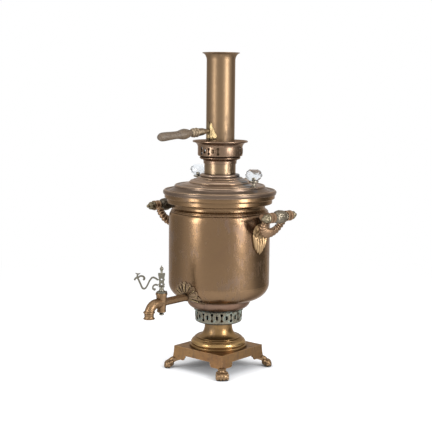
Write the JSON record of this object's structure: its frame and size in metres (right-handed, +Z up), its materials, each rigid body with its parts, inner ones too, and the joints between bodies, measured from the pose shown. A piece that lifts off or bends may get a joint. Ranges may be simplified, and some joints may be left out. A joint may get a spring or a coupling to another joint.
{
  "type": "samovar",
  "caption": "Charcoal samovar with a cylindrical water vessel, fire tube, chimney, pierced crown, stepped lid, plug tap, two side handles and a footed square base.",
  "frame": {"origin": "where the fire tube's axis meets the floor that the feet stand on", "axes": "+Z up along the fire tube's axis, the tap points to -Y, the side handles lie on +X and -X"},
  "size_m": [0.385, 0.3864, 0.7495],
  "materials": {
    "sheet_brass": "aged, brown patina with soft sheen",
    "turned_brass": "aged, partly polished",
    "pale_brass": "aged, pale gold",
    "cast_brass": "cast, dull patina",
    "grey_brass": "cast, grey-green patina",
    "verdigris_brass": "cast, verdigris",
    "iron": "sooty",
    "grey_wood": "weathered turned wood",
    "leather": "soaked",
    "cut_glass": "clear, cut flat faces"
  },
  "bodies": {
    "root": {"base_plate": "cast_brass", "foot_front_left": "cast_brass", "foot_front_right": "cast_brass", "foot_back_left": "cast_brass", "foot_back_right": "cast_brass", "pedestal": "turned_brass", "gallery": "verdigris_brass", "cup": "sheet_brass", "grate": "iron", "vessel": "sheet_brass", "shoulder_ring": "sheet_brass", "fire_tube": "turned_brass", "handle_shell_right": "pale_brass", "handle_shell_left": "pale_brass", "handle_yoke_right": "cast_brass", "handle_yoke_left": "cast_brass", "grip_right": "grey_brass", "grip_left": "grey_brass", "grip_rod_right": "turned_brass", "grip_rod_left": "turned_brass", "grip_buttons_right": "grey_brass", "grip_buttons_left": "grey_brass", "handle_nuts": "turned_brass", "tap_shell": "pale_brass", "tap_body": "turned_brass", "tap_nut": "turned_brass", "tap_seal": "leather"},
    "key": {"tap_key": "pale_brass", "key_branch": "pale_brass", "key_nut": "iron"},
    "lid": {"lid": "sheet_brass", "knob_stem_right": "pale_brass", "knob_stem_left": "pale_brass", "knob_glass_right": "cut_glass", "knob_glass_left": "cut_glass", "knob_nuts": "turned_brass", "vent_pin": "pale_brass"},
    "vent": {"vent_cap": "turned_brass"},
    "crown": {"crown": "sheet_brass"},
    "chimney": {"chimney_pipe": "pale_brass", "chimney_bracket": "pale_brass", "chimney_ferrule": "pale_brass", "chimney_grip": "grey_wood", "chimney_tang": "iron"}
  },
  "joints": [
    {"name": "tap_turn", "type": "hinge", "parent": "root", "child": "key", "pos_m": [0, -0.199, 0.19], "axis": [0, 0, 1], "continuous": true},
    {"name": "lid_lift", "type": "slide", "parent": "root", "child": "lid", "axis": [0, 0, 1], "range_m": [0, 0.08]},
    {"name": "vent_turn", "type": "hinge", "parent": "lid", "child": "vent", "pos_m": [0.01061, 0.08646, 0.45], "axis": [0, 0, 1], "range_deg": [0, 60]},
    {"name": "crown_lift", "type": "slide", "parent": "lid", "child": "crown", "axis": [0, 0, 1], "range_m": [0, 0.04]},
    {"name": "chimney_lift", "type": "slide", "parent": "crown", "child": "chimney", "axis": [0, 0, 1], "range_m": [0, 0.08]}
  ]
}
